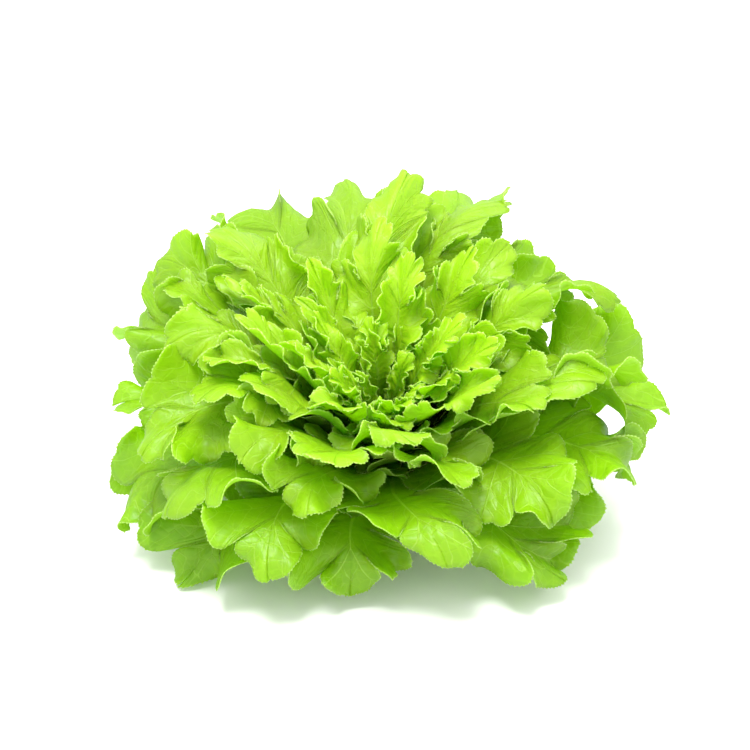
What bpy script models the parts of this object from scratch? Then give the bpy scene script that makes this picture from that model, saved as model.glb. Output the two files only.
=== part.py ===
"""A head of green oak leaf lettuce, cut at the stem and resting on its cut face and its lowest leaves.

One short stem carries a rosette of lobed leaves. Each large leaf is its own closed solid, the
small frilled leaves in the middle are one fused solid, and the stem is a turned, tapering stub.
The head leans towards -Y, the side that it shows, and a little towards -X.

Metres, +Z up. The origin is the centre of the stem's flat cut face, where the head rests.
"""

import math
from dataclasses import dataclass

import bmesh
import bpy
import numpy as np
from mathutils.bvhtree import BVHTree

MM = 0.001

# The stem, a cone that the leaves start from
STEM_CUT_RADIUS = 16.5 * MM
STEM_TIP_RADIUS = 3.5 * MM
FIRST_LEAF_HEIGHT = 6 * MM
LAST_LEAF_HEIGHT = 44 * MM
STEM_GAP = 1.0 * MM  # from the stem's surface to the middle of a leaf's first edge
STEM_SEGMENTS = 22
STEM_RINGS = 4
CUT_CHAMFER = 1.0 * MM
SHARP_EDGE = math.radians(35)

# The core of the heart goes on above the stem's top and joins the small leaves
CORE_GAP = 0.3 * MM
CORE_MARGIN = 0.8 * MM
CORE_TOP = 50 * MM
CORE_SHOULDER = 0.8  # radius near its top, as a share of the stem's tip
CORE_RINGS = 5

# The rosette: the leaves follow each other round the stem at the golden angle.
# A leaf's layer is 0 for the outermost leaf and 1 for the growing tip.
LARGE_LEAVES = 48
HEART_LEAVES = 13
LARGE_TO = 0.78  # layer of the last large leaf
HEART_FROM = 0.80  # layer of the first small leaf
LAYER_CROWDING = 1.15  # more than 1 sets the outer leaves closer together
GOLDEN_ANGLE = math.radians(-137.508)  # clockwise, seen from above
FIRST_CLOCK = math.radians(324)
SEED = 26
SEED_STEP = 1000  # more than there are leaves, so each leaf of each seed has its own draw

# Each layer is a bowl whose side is an arc. Angles are from the stem's axis.
# A layer's length is OUTER_LENGTH + LENGTH_GAIN * layer - LENGTH_LOSS * layer squared.
OUTER_LENGTH = 141 * MM
LENGTH_GAIN = 124 * MM
LENGTH_LOSS = 190 * MM
START_ANGLE = math.radians(50)
END_ANGLE = math.radians(180)
END_ANGLE_FALL = math.radians(158)
END_FALL = 1.15
TIP_CURL = 1.6  # 1 bends a leaf evenly, more bends it mostly near its tip

HEAD_RADIUS = 130 * MM

# Waves that run through all the layers together, so the leaves stay clear of each other
WAVES = (
    # height, waves round the head, waves along a leaf, phase, change of phase from layer 0 to 1
    (11 * MM, 8, 0.9, 0.3, 5.0),
    (7 * MM, -13, 1.3, 1.9, -7.0),
)
WAVE_GROWTH = 1.5  # a wave grows with this power of the distance from the stem
WAVE_SHARE = 1.2  # of a leaf's length, where the waves stop growing

# The whole head leans and is pushed about gently; the lowest leaves press on the floor
LEAN = math.radians(35)
LEAN_CLOCK = math.radians(-4)
LEAN_PIVOT_HEIGHT = 12 * MM
LEAN_FROM = 8 * MM  # from the pivot; nearer than this the stem stays upright
LEAN_TO = 60 * MM
SHAPE_FROM = 35 * MM  # from the pivot; the dome and the swells begin to shape the leaves here
SHAPE_TO = 85 * MM
DOME_RADIUS = 152 * MM
DOME_HEIGHT = 175 * MM  # above the pivot
PLAN_POWER = 2.3  # 2 keeps the head round, seen from above; more makes it squarer
DOME_POWER = 2.6  # the same, seen from the side
DOME_HOLD_FROM = 0.8  # of the dome's size; what reaches further out is held in
SWELL_HEIGHT = 5 * MM
SWELL_LENGTH = 115 * MM
SWELLS = (
    # for x, y and z: the direction in which the swell runs, and its phase
    ((0.0, 0.8, 0.6), 1.0),
    ((0.8, 0.0, -0.6), 2.2),
    ((0.7, 0.7, 0.0), 0.4),
)
SQUEEZE_FROM = 9 * MM  # above the floor
LOWEST_LEAF = 0.8 * MM

# One leaf, as fractions of its length
SHORTEST_LEAF = 0.84  # of its layer's length
LONGEST_LEAF = 1.0
MIDRIB_END = 0.75
ROW_CROWDING = 1.5  # more than 1 sets the rows closer together towards the tip, which rounds it
STALK_WIDTH = 0.053
STALK_FLARE = 0.1
LOBE_EDGES = (0.14, 0.33, 0.56, 0.80)  # where lobes meet along the midrib, from the stalk's end
LOBE_REACHES = (0.16, 0.25, 0.28, 0.22)  # the last is the tip's own lobe
SINUS_WIDTHS = (0.065, 0.065, 0.085)  # half the blade's width between two lobes
LOBE_ROUNDNESS = 2.1
LOBE_SHOULDER = 0.55  # of half a lobe's width, where a row holds its round shape
TIP_SHOULDERS = (0.35, 0.7)  # of the tip lobe's height
LOBE_FAN = math.radians(24)  # how far a lobe's rows spread at its margin
TIP_FAN = math.radians(51)
FAN_FROM = 0.35  # of the way from the midrib to the margin
SWEEP_PLACES = (0.0, 0.25, 0.56, 0.80, 1.0)
SWEEPS = tuple(math.radians(angle) for angle in (82, 76, 58, 33, 0))
WIDEST_WRAP = math.radians(43)  # half a leaf's width, as an angle round the stem's axis
WRAP_SHARPNESS = 4.0

# How a leaf's rows bend between the midrib and the margin
LEAST_BEND = math.radians(55)
MOST_BEND = math.radians(150)
DOWN_SHARE = 0.6  # of the lobes; the others bend up
UP_BEND = 0.8  # of a bend down
TIP_LOBE_BEND = 0.6  # of another lobe's
SINUS_BEND = 0.35  # of its two lobes' bends, the other way
CURL_POWER = 1.8  # above 1, a lobe stays flat near its midrib and curls at its margin
TIP_BENDS = (math.radians(-60), math.radians(10))

# How leaves differ
EDGE_SHIFT = 0.02
REACH_CHANGE = 0.18
MOST_SWAY = math.radians(14)

# Thickness of the blade and of the rib under it
BLADE = 0.8 * MM
RIB = 1.9 * MM
RIB_END = 0.6  # of the midrib
RIB_THINNING = 0.8  # from the outermost leaf to the growing tip
RIB_SPREAD = 0.625  # of the way to the margin
CLEARANCE = 0.2 * MM
OWN_CLEARANCE = 0.15 * MM

BEND_STEPS = 24  # from the midrib to the margin
COARSE_STEPS = (0, 12, 24)  # those where a solid has its vertices
BOWL_STEPS = 60
BOWL_REACH = 1.4  # how far a bowl goes on past a leaf of the usual length
EASE_STEP = 0.88
EASE_ROUNDS = 80
MERGE = 0.01 * MM

# Colours as linear values
LEAF_GREEN = (0.30, 0.56, 0.05)
HEART_GREEN = (0.42, 0.66, 0.08)
STEM_WHITE = (0.66, 0.74, 0.42)


@dataclass
class Leaf:
    """One leaf's place in the rosette and its own shape; sides are 0 left and 1 right."""

    name: str
    layer: float
    clock: float
    length: float
    sway: float
    edges: np.ndarray  # where the lobes meet along the midrib, the stalk's end first
    reaches: np.ndarray  # of each lobe, by side
    bends: np.ndarray  # of each lobe, by side; down is negative
    tip_bend: float
    ease: np.ndarray  # 1 keeps a row's bend and 0 lays it flat, by side

    def rows(self):
        """Fractions of the midrib where a row of vertices crosses it."""
        rows = [0.0, self.edges[0]]
        for lobe, (start, end) in enumerate(zip(self.edges[:-1], self.edges[1:])):
            middle = 0.5 * (start + end)
            shoulder = 0.5 * (end - start) * LOBE_SHOULDER
            rows += [middle] if lobe == 0 else [middle - shoulder, middle + shoulder]
            rows.append(end)
        tip_height = 1 - self.edges[-1]
        rows += [self.edges[-1] + share * tip_height for share in TIP_SHOULDERS]
        return np.array([*rows, 1.0])


# The bowls that the leaves lie in


def leaf_length(layer):
    return OUTER_LENGTH + LENGTH_GAIN * layer - LENGTH_LOSS * layer**2


def bowl_side(layer, forward):
    """Radius, height and slope of a layer's bowl at a distance from the stem."""
    length = leaf_length(layer)
    start = START_ANGLE * (1 - layer)
    end = END_ANGLE - END_ANGLE_FALL * layer**END_FALL
    path = np.linspace(0, BOWL_REACH * length, BOWL_STEPS + 1)
    slope = start + (end - start) * (path / length) ** TIP_CURL
    step = BOWL_REACH * length / BOWL_STEPS
    middle = 0.5 * (slope[1:] + slope[:-1])
    out = np.concatenate([[0], np.cumsum(step * np.sin(middle))])
    up = np.concatenate([[0], np.cumsum(step * np.cos(middle))])
    first_radius = STEM_CUT_RADIUS + (STEM_TIP_RADIUS - STEM_CUT_RADIUS) * layer + STEM_GAP
    first_height = FIRST_LEAF_HEIGHT + (LAST_LEAF_HEIGHT - FIRST_LEAF_HEIGHT) * layer
    radius = first_radius + np.interp(forward, path, out)
    height = first_height + np.interp(forward, path, up)
    return radius, height, np.interp(forward, path, slope)


def bowl_point(layer, clock, forward, sideways, above):
    """A point of the rosette before it leans, from its place in its layer's bowl."""
    radius, height, angle = bowl_side(layer, forward)
    around = clock + sideways / np.maximum(radius, 0.5 * STEM_CUT_RADIUS)
    share = forward / leaf_length(layer)
    growth = np.clip(share, 0, WAVE_SHARE) ** WAVE_GROWTH * radius / HEAD_RADIUS
    for wave_height, round_head, along_leaf, phase, drift in WAVES:
        turn = round_head * around + 2 * math.pi * along_leaf * share
        above = above + wave_height * growth * np.sin(turn + phase + drift * layer)
    radius = radius - above * np.cos(angle)
    height = height + above * np.sin(angle)
    return np.stack([radius * np.sin(around), -radius * np.cos(around), height], axis=-1)


def smooth_step(x):
    x = np.clip(x, 0, 1)
    return x * x * (3 - 2 * x)


def lean_over(points):
    """Lean what stands up, more the nearer it is to the stem's axis."""
    pivot = np.array([0, 0, LEAN_PIVOT_HEIGHT])
    arm = points - pivot
    reach = np.maximum(np.linalg.norm(arm, axis=-1), 1e-9)
    from_axis = np.arccos(np.clip(arm[..., 2] / reach, -1, 1))
    upright = np.clip(1 - from_axis / (0.5 * math.pi), 0, 1)
    angle = (LEAN * upright * smooth_step((reach - LEAN_FROM) / (LEAN_TO - LEAN_FROM)))[..., None]
    axle = np.array([math.cos(LEAN_CLOCK), math.sin(LEAN_CLOCK), 0])
    turned = arm * np.cos(angle) + np.cross(axle, arm) * np.sin(angle)
    turned += axle * (arm @ axle)[..., None] * (1 - np.cos(angle))
    return pivot + turned


def shaped_share(arm):
    """0 near the pivot of the lean, where nothing is pushed about, and 1 well away from it."""
    return smooth_step((np.linalg.norm(arm, axis=-1) - SHAPE_FROM) / (SHAPE_TO - SHAPE_FROM))


def fill_dome(points):
    """Push the outer leaves into a squarish dome's corners, and hold in what sticks out of it."""
    pivot = np.array([0, 0, LEAN_PIVOT_HEIGHT])
    arm = points - pivot
    upward = np.abs(arm[..., 2]) / DOME_HEIGHT
    rounded = np.hypot(np.linalg.norm(arm[..., :2], axis=-1) / DOME_RADIUS, upward)
    plan = (np.abs(arm[..., :2]) ** PLAN_POWER).sum(axis=-1) ** (1 / PLAN_POWER) / DOME_RADIUS
    squared = (plan**DOME_POWER + upward**DOME_POWER) ** (1 / DOME_POWER)
    stretch = 1 + shaped_share(arm) * (rounded / np.maximum(squared, 1e-9) - 1)
    reach = stretch * squared
    room = 1 - DOME_HOLD_FROM
    past = np.maximum(reach - DOME_HOLD_FROM, 0)
    held = np.where(past > 0, DOME_HOLD_FROM + room * (1 - np.exp(-past / room)), reach)
    return pivot + arm * (stretch * held / np.maximum(reach, 1e-9))[..., None]


def push_about(points):
    """Move the outer leaves by a long, low swell, so that no two sides are alike."""
    amount = SWELL_HEIGHT * shaped_share(points - [0, 0, LEAN_PIVOT_HEIGHT])
    turn = 2 * math.pi / SWELL_LENGTH
    moves = [np.sin(turn * (points @ np.array(way)) + phase) for way, phase in SWELLS]
    return points + amount[..., None] * np.stack(moves, axis=-1)


def press_on_floor(points):
    """Flatten what would go below the floor onto it, nothing through anything else."""
    pressed = np.array(points)
    room = SQUEEZE_FROM - LOWEST_LEAF
    low = np.minimum(points[..., 2] - SQUEEZE_FROM, 0)
    squeezed = LOWEST_LEAF + room * np.exp(low / room)
    pressed[..., 2] = np.where(low < 0, squeezed, points[..., 2])
    return pressed


def settle(points):
    return press_on_floor(push_about(fill_dome(lean_over(points))))


# The outline and the bends of one leaf


def smooth_between(at, places, values):
    """Values at places, joined by smooth curves that are level at each of them."""
    index = np.clip(np.searchsorted(places, at, side="right") - 1, 0, len(places) - 2)
    start, end = places[index], places[index + 1]
    step = smooth_step((at - start) / (end - start))
    return values[index] + (values[index + 1] - values[index]) * step


def smaller_of(width, widest):
    """The smaller of two widths, without a corner where they are alike."""
    return (width**-WRAP_SHARPNESS + widest**-WRAP_SHARPNESS) ** (-1 / WRAP_SHARPNESS)


def midrib_distance(leaf, along):
    """Distance from the stem where each row sets out from the midrib."""
    return MIDRIB_END * leaf.length * (1 - (1 - along) ** ROW_CROWDING)


def leaf_outline(leaf, side, along):
    """Half width of the blade, and where its rows set out and end, at fractions of the midrib."""
    edges = leaf.edges
    stem_share = 1 + (STEM_TIP_RADIUS / STEM_CUT_RADIUS - 1) * leaf.layer
    feet = np.array([STALK_WIDTH * stem_share, *SINUS_WIDTHS, SINUS_WIDTHS[-1]]) * leaf.length
    width = feet[0] * (1 + STALK_FLARE * (1 - along / edges[0]) ** 2)
    sweep = np.interp(along, SWEEP_PLACES, SWEEPS)
    fan = np.zeros_like(along)
    for lobe in range(len(edges)):
        start = edges[lobe]
        tip_lobe = lobe == len(edges) - 1
        half = (1 - start) if tip_lobe else 0.5 * (edges[lobe + 1] - start)
        place = (along - start) / half - 1
        inside = (along >= start) & (place <= 1)
        foot = feet[lobe] + (feet[lobe + 1] - feet[lobe]) * np.clip(0.5 * (place + 1), 0, 1)
        bulge = np.clip(1 - np.abs(place) ** LOBE_ROUNDNESS, 0, 1) ** (1 / LOBE_ROUNDNESS)
        reach = leaf.reaches[side][lobe] * leaf.length
        width = np.where(inside, foot + (reach - foot) * bulge, width)
        spread = TIP_FAN if tip_lobe else LOBE_FAN
        fan = np.where(inside, -spread * place * (1 - place**4), fan)
    radius, _, _ = bowl_side(leaf.layer, midrib_distance(leaf, along))
    return smaller_of(width, WIDEST_WRAP * radius), sweep, fan


def row_bends(leaf, side, along):
    """Angle that each row turns through between the midrib and the margin."""
    edges = leaf.edges
    bends = leaf.bends[side]
    places = [0.0, edges[0]]
    values = [0.0, 0.0]
    for lobe in range(len(edges) - 1):
        places += [0.5 * (edges[lobe] + edges[lobe + 1]), edges[lobe + 1]]
        values += [bends[lobe], -SINUS_BEND * (bends[lobe] + bends[lobe + 1])]
    places += [edges[-1] + 0.5 * (1 - edges[-1]), 1.0]
    values += [bends[-1], leaf.tip_bend]
    bend = smooth_between(along, np.array(places), np.array(values))
    return bend * np.interp(along, leaf.rows(), leaf.ease[side])


def run(steps):
    """Sums along each row, from nothing at the midrib."""
    return np.concatenate([np.zeros((len(steps), 1)), np.cumsum(steps, axis=1)], axis=1)


def leaf_points(leaf, along, picks):
    """Rows of points from the left margin to the right margin, at fractions of the midrib.

    Each row bends in BEND_STEPS steps on either side, and picks are the steps that get a point.
    """
    halves = []
    for side in (0, 1):
        width, sweep, fan = leaf_outline(leaf, side, along)
        bend = row_bends(leaf, side, along)
        share = np.linspace(0, 1, BEND_STEPS + 1)
        middles = 0.5 * (share[1:] + share[:-1])
        turned = bend[:, None] * middles[None, :] ** CURL_POWER
        course = sweep[:, None] + fan[:, None] * smooth_step((middles - FAN_FROM) / (1 - FAN_FROM))
        step = width[:, None] / BEND_STEPS
        forward = midrib_distance(leaf, along)[:, None] + run(step * np.cos(turned) * np.cos(course))
        sideways = run(step * np.cos(turned) * np.sin(course)) * (1 if side else -1)
        above = run(step * np.sin(turned))
        clock = leaf.clock + leaf.sway * (forward / leaf.length) ** 2
        points = bowl_point(leaf.layer, clock, forward, sideways, above)
        picked = points[:, list(picks)]
        halves.append(picked if side else picked[:, :0:-1])
    return settle(np.concatenate(halves, axis=1))


def leaf_thickness(leaf, along):
    """Full thickness at each vertex: the rib thins out towards the tip and the margins."""
    right = np.array(COARSE_STEPS) / BEND_STEPS
    across = np.concatenate([right[:0:-1], right])
    rib = (RIB - BLADE) * (1 - RIB_THINNING * leaf.layer) * np.clip(1 - along / RIB_END, 0, 1)
    return BLADE + rib[:, None] * np.clip(1 - across[None, :] / RIB_SPREAD, 0, 1)


# Leaves are bent clear of each other before any of them is made


def grid_triangles(points):
    """Two triangles for each cell of a grid of points, cut along the cell's shorter diagonal."""
    rows, columns = points.shape[:2]
    number = np.arange(rows * columns).reshape(rows, columns)
    corners = [number[:-1, :-1], number[:-1, 1:], number[1:, 1:], number[1:, :-1]]
    a, b, c, d = (corner.ravel() for corner in corners)
    flat = points.reshape(-1, 3)
    first = np.linalg.norm(flat[a] - flat[c], axis=1) < np.linalg.norm(flat[b] - flat[d], axis=1)
    lower = np.where(first[:, None], np.stack([a, b, c], 1), np.stack([a, b, d], 1))
    upper = np.where(first[:, None], np.stack([a, c, d], 1), np.stack([b, c, d], 1))
    return np.stack([lower, upper], axis=1).reshape(-1, 3)


def point_normals(points, triangles):
    """The normal at each point: its triangles' normals, weighted by their corner angles."""
    flat = points.reshape(-1, 3)
    corners = flat[triangles]
    faces = np.cross(corners[:, 1] - corners[:, 0], corners[:, 2] - corners[:, 0])
    faces /= np.maximum(np.linalg.norm(faces, axis=1, keepdims=True), 1e-12)
    normals = np.zeros_like(flat)
    for k in range(3):
        one = corners[:, (k + 1) % 3] - corners[:, k]
        two = corners[:, (k + 2) % 3] - corners[:, k]
        cosine = (one * two).sum(axis=1) / np.maximum(
            np.linalg.norm(one, axis=1) * np.linalg.norm(two, axis=1), 1e-12
        )
        angle = np.arccos(np.clip(cosine, -1, 1))
        np.add.at(normals, triangles[:, k], faces * angle[:, None])
    size = np.maximum(np.linalg.norm(normals, axis=1, keepdims=True), 1e-12)
    return (normals / size).reshape(points.shape)


def clearance_shell(leaf, margin):
    """The leaf's thick shape as points and triangles, larger than the solid by a margin."""
    along = leaf.rows()
    points = leaf_points(leaf, along, COARSE_STEPS)
    triangles = grid_triangles(points)
    shift = point_normals(points, triangles)
    shift = shift * (0.5 * leaf_thickness(leaf, along) + margin)[..., None]
    rows, across = points.shape[:2]
    number = np.arange(rows * across).reshape(rows, across)
    rim = np.concatenate([number[::-1, 0], number[0, 1:], number[1:, -1]])
    start, end = rim[:-1], rim[1:]
    under = rows * across
    walls = [np.stack([start, end, start + under], 1), np.stack([end, end + under, start + under], 1)]
    both = np.concatenate([(points + shift).reshape(-1, 3), (points - shift).reshape(-1, 3)])
    faces = np.concatenate([triangles, triangles[:, ::-1] + under, *walls])
    return both, faces


def clearance_tree(leaf):
    both, faces = clearance_shell(leaf, CLEARANCE)
    return BVHTree.FromPolygons(both.tolist(), faces.tolist()), both.min(axis=0), both.max(axis=0)


def own_meetings(leaf):
    """Triangles where the leaf's solid would pass through itself."""
    both, faces = clearance_shell(leaf, OWN_CLEARANCE)
    tree = BVHTree.FromPolygons(both.tolist(), faces.tolist())
    on_one_side = len(both) // 2
    last_row = on_one_side - 2 * len(COARSE_STEPS) + 1
    at_tip = (faces % on_one_side).max(axis=1) >= last_row
    met = set()
    for a, b in tree.overlap(tree):
        if a < b and not (at_tip[a] and at_tip[b]) and not set(faces[a]) & set(faces[b]):
            met.update((a, b))
    return met


def triangle_place(leaf, triangle):
    """The row and side of the leaf that a triangle of its thick shape belongs to."""
    last_row = len(leaf.rows()) - 2
    on_a_side = len(COARSE_STEPS) - 1
    in_row = 2 * on_a_side
    cells = in_row * (last_row + 1)
    if triangle < 4 * cells:
        row, column = divmod((triangle // 2) % cells, in_row)
        return row, int(column >= on_a_side)
    step = (triangle - 4 * cells) % (2 * (last_row + 1) + in_row)
    if step <= last_row:
        return last_row - step, 0
    return max(step - last_row - 1 - in_row, 0), 1


def ease_rows(leaf, met):
    """Lay the rows that the met triangles belong to a little flatter."""
    for row, side in {triangle_place(leaf, triangle) for triangle in met}:
        leaf.ease[side][max(row - 1, 0) : row + 3] *= EASE_STEP
    leaf.ease[:, -1] = leaf.ease[:, -1].min()


def bend_clear(leaves):
    """Ease the bends where leaves meet, until no leaf meets another or itself."""
    trees = [clearance_tree(leaf) for leaf in leaves]
    changed = set(range(len(leaves)))
    for _ in range(EASE_ROUNDS):
        met = [own_meetings(leaf) if i in changed else set() for i, leaf in enumerate(leaves)]
        for i, (tree, low, high) in enumerate(trees[:LARGE_LEAVES]):
            for j in range(i + 1, len(leaves)):
                other, other_low, other_high = trees[j]
                if (low > other_high).any() or (other_low > high).any():
                    continue
                for a, b in tree.overlap(other):
                    met[i].add(a)
                    met[j].add(b)
        changed = {i for i in range(len(leaves)) if met[i]}
        if not changed:
            break
        for i in changed:
            ease_rows(leaves[i], met[i])
            trees[i] = clearance_tree(leaves[i])
    print("leaves that still meet:", [leaves[i].name for i in sorted(changed)])


# The rosette


def grow_leaf(name, index, layer):
    """A leaf at its place in the rosette, with its own seeded differences."""
    draw = np.random.default_rng(SEED_STEP * SEED + index)
    lobes = len(LOBE_EDGES)
    edges = np.array(LOBE_EDGES) + draw.uniform(-EDGE_SHIFT, EDGE_SHIFT, lobes)
    reaches = np.tile(np.array(LOBE_REACHES), (2, 1))
    reaches[:, :-1] *= draw.uniform(1 - REACH_CHANGE, 1 + REACH_CHANGE, (2, lobes - 1))
    bends = draw.uniform(LEAST_BEND, MOST_BEND, (2, lobes))
    bends *= np.where(draw.random((2, lobes)) < DOWN_SHARE, -1, UP_BEND)
    bends[:, -1] *= TIP_LOBE_BEND
    return Leaf(
        name=name,
        layer=layer,
        clock=FIRST_CLOCK + GOLDEN_ANGLE * index,
        length=leaf_length(layer) * draw.uniform(SHORTEST_LEAF, LONGEST_LEAF),
        sway=draw.uniform(-MOST_SWAY, MOST_SWAY),
        edges=edges,
        reaches=reaches,
        bends=bends,
        tip_bend=draw.uniform(*TIP_BENDS),
        ease=np.ones((2, 3 * lobes + 1)),
    )


def rosette():
    leaves = []
    for index in range(LARGE_LEAVES + HEART_LEAVES):
        if index < LARGE_LEAVES:
            layer = LARGE_TO * (index / LARGE_LEAVES) ** LAYER_CROWDING
            name = f"leaf_{index + 1:02d}"
        else:
            layer = HEART_FROM + (1 - HEART_FROM) * (index - LARGE_LEAVES) / HEART_LEAVES
            name = f"heart_{index - LARGE_LEAVES + 1:02d}"
        leaves.append(grow_leaf(name, index, layer))
    return leaves


# Solids


def new_collection(name):
    collection = bpy.data.collections.new(name)
    bpy.context.scene.collection.children.link(collection)
    return collection


def new_material(name, colour, roughness):
    material = bpy.data.materials.new(name)
    material.use_nodes = True
    shader = material.node_tree.nodes["Principled BSDF"]
    shader.inputs["Base Color"].default_value = (*colour, 1)
    shader.inputs["Roughness"].default_value = roughness
    shader.inputs["Metallic"].default_value = 0
    return material


def link_object(name, bm, collection, material):
    mesh = bpy.data.meshes.new(name)
    bm.to_mesh(mesh)
    bm.free()
    mesh.materials.append(material)
    part = bpy.data.objects.new(name, mesh)
    collection.objects.link(part)
    return part


def leaf_solid(leaf, collection, material):
    """A grid of vertices moved onto the leaf's sheet, then given its thickness."""
    along = leaf.rows()
    points = leaf_points(leaf, along, COARSE_STEPS)
    thickness = leaf_thickness(leaf, along)
    thickest = thickness.max()
    rows, across = points.shape[:2]
    bm = bmesh.new()
    bmesh.ops.create_grid(bm, x_segments=across - 1, y_segments=rows - 1, size=0.5)
    layer = bm.verts.layers.deform.new()
    for vert in bm.verts:
        column = round((vert.co.x + 0.5) * (across - 1))
        row = round((vert.co.y + 0.5) * (rows - 1))
        vert.co = points[row, column]
        vert[layer][0] = thickness[row, column] / thickest
    bmesh.ops.triangulate(bm, faces=bm.faces, quad_method="SHORT_EDGE")
    bmesh.ops.remove_doubles(bm, verts=bm.verts, dist=MERGE)
    part = link_object(leaf.name, bm, collection, material)
    part.vertex_groups.new(name="thickness")
    solidify = part.modifiers.new("thickness", "SOLIDIFY")
    solidify.thickness = thickest
    solidify.offset = 0
    solidify.vertex_group = "thickness"
    solidify.thickness_vertex_group = 0
    return part


def stem_radius(height):
    """Radius of the stem's cone at a height above the first leaf."""
    share = (height - FIRST_LEAF_HEIGHT) / (LAST_LEAF_HEIGHT - FIRST_LEAF_HEIGHT)
    return STEM_CUT_RADIUS + (STEM_TIP_RADIUS - STEM_CUT_RADIUS) * share


def evaluated_mesh(part):
    """The object's mesh with its modifiers applied."""
    view = bpy.context.evaluated_depsgraph_get()
    return bpy.data.meshes.new_from_object(part.evaluated_get(view))


def turned_solid(name, radii, heights, collection, material):
    """A profile turned round the stem's axis, then leaned with the leaves."""
    bm = bmesh.new()
    profile = [bm.verts.new((radius, 0, height)) for radius, height in zip(radii, heights)]
    for upper, lower in zip(profile[:-1], profile[1:]):
        bm.edges.new((upper, lower))
    part = link_object(name, bm, collection, material)
    screw = part.modifiers.new("turn", "SCREW")
    screw.steps = STEM_SEGMENTS
    screw.render_steps = STEM_SEGMENTS
    screw.use_merge_vertices = True
    screw.merge_threshold = MERGE
    part.data = evaluated_mesh(part)
    part.modifiers.clear()
    for vert in part.data.vertices:
        vert.co = lean_over(np.array(vert.co))
    part.data.shade_smooth()
    part.data.set_sharp_from_angle(angle=SHARP_EDGE)
    return part


def stem_solid(collection, material):
    """The stem, from its flat cut face to just below the heart."""
    top = FIRST_LEAF_HEIGHT + (LAST_LEAF_HEIGHT - FIRST_LEAF_HEIGHT) * HEART_FROM
    side = np.linspace(top, FIRST_LEAF_HEIGHT, STEM_RINGS)
    heights = [top, *side, CUT_CHAMFER, 0, 0]
    radii = [0, *stem_radius(side), STEM_CUT_RADIUS, STEM_CUT_RADIUS - CUT_CHAMFER, 0]
    return turned_solid("stem", radii, heights, collection, material)


def core_solid(collection, material):
    """The bud in the middle of the heart, wide enough to hold the small leaves' feet."""
    bottom = FIRST_LEAF_HEIGHT + (LAST_LEAF_HEIGHT - FIRST_LEAF_HEIGHT) * HEART_FROM + CORE_GAP
    side = np.linspace(LAST_LEAF_HEIGHT, bottom, CORE_RINGS)
    shoulder = 0.5 * (CORE_TOP + LAST_LEAF_HEIGHT)
    heights = [CORE_TOP, shoulder, *side, bottom]
    radii = [0, CORE_SHOULDER * STEM_TIP_RADIUS, *(stem_radius(side) + CORE_MARGIN), 0]
    return turned_solid("heart", radii, heights, collection, material)


def keep_main_body(mesh):
    """Drop loose scraps and fill sealed hollows: keep only the body with the most faces."""
    bm = bmesh.new()
    bm.from_mesh(mesh)
    left = set(bm.faces)
    bodies = []
    while left:
        body = {left.pop()}
        front = list(body)
        while front:
            near = {face for edge in front.pop().edges for face in edge.link_faces} & left
            left -= near
            body |= near
            front += near
        bodies.append(body)
    bodies.sort(key=len)
    for body in bodies[:-1]:
        bmesh.ops.delete(bm, geom=list(body), context="FACES")
    bm.to_mesh(mesh)
    bm.free()


def fuse(whole, pieces):
    """Join a collection's objects to the whole by one Boolean union and leave only the whole."""
    union = whole.modifiers.new("join", "BOOLEAN")
    union.operation = "UNION"
    union.solver = "MANIFOLD"  # EXACT leaves a sealed hollow between two of the small leaves
    union.operand_type = "COLLECTION"
    union.collection = pieces
    fused = evaluated_mesh(whole)
    whole.modifiers.clear()
    whole.data = fused
    keep_main_body(fused)
    for piece in list(pieces.objects):
        bpy.data.objects.remove(piece)
    bpy.data.collections.remove(pieces)


def main():
    for old in list(bpy.data.objects):
        bpy.data.objects.remove(old)
    head = new_collection("oak_leaf_lettuce")
    heart_parts = new_collection("heart_parts")
    leaf_green = new_material("lettuce_leaf", LEAF_GREEN, 0.45)
    heart_green = new_material("lettuce_heart", HEART_GREEN, 0.45)
    stem_white = new_material("lettuce_stem", STEM_WHITE, 0.55)
    leaves = rosette()
    bend_clear(leaves)
    stem_solid(head, stem_white)
    heart = core_solid(head, heart_green)
    for leaf in leaves[:LARGE_LEAVES]:
        leaf_solid(leaf, head, leaf_green)
    for leaf in leaves[LARGE_LEAVES:]:
        leaf_solid(leaf, heart_parts, heart_green)
    fuse(heart, heart_parts)


main()
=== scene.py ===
# %% [markdown]
# # A head of green oak leaf lettuce
#
# This script dresses a imported CAD model of a loose lettuce head. The model already holds the stem,
# forty-eight large leaves and a fused heart, each as a plain faceted solid of the right size. Here
# every leaf is grown again in its place, but as a fine sheet with toothed and ruffled margins, ribs,
# veins and a skin that light shines through. Everything is in metres, with +Z up.
#
# The frame is loaded first. Its node names are all that this script reads.

# %% Load the frame
import math
from dataclasses import dataclass

import bmesh
import bpy
import numpy as np
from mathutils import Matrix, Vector
from mathutils.bvhtree import BVHTree


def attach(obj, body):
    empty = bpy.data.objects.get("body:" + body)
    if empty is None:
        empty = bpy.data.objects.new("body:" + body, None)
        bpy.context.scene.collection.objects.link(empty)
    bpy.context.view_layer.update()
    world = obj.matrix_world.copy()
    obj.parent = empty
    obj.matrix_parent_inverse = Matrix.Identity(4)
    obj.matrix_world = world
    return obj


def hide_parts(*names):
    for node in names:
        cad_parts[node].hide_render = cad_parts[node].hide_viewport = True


MM = 0.001

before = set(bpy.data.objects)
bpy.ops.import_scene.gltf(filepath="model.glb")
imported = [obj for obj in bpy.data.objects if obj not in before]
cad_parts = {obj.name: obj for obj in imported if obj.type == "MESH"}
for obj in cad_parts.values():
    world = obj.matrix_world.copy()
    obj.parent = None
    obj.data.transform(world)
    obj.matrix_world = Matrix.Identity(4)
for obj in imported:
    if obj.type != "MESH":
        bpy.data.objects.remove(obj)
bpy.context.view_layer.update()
print("nodes in the frame:", len(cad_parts))

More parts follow.
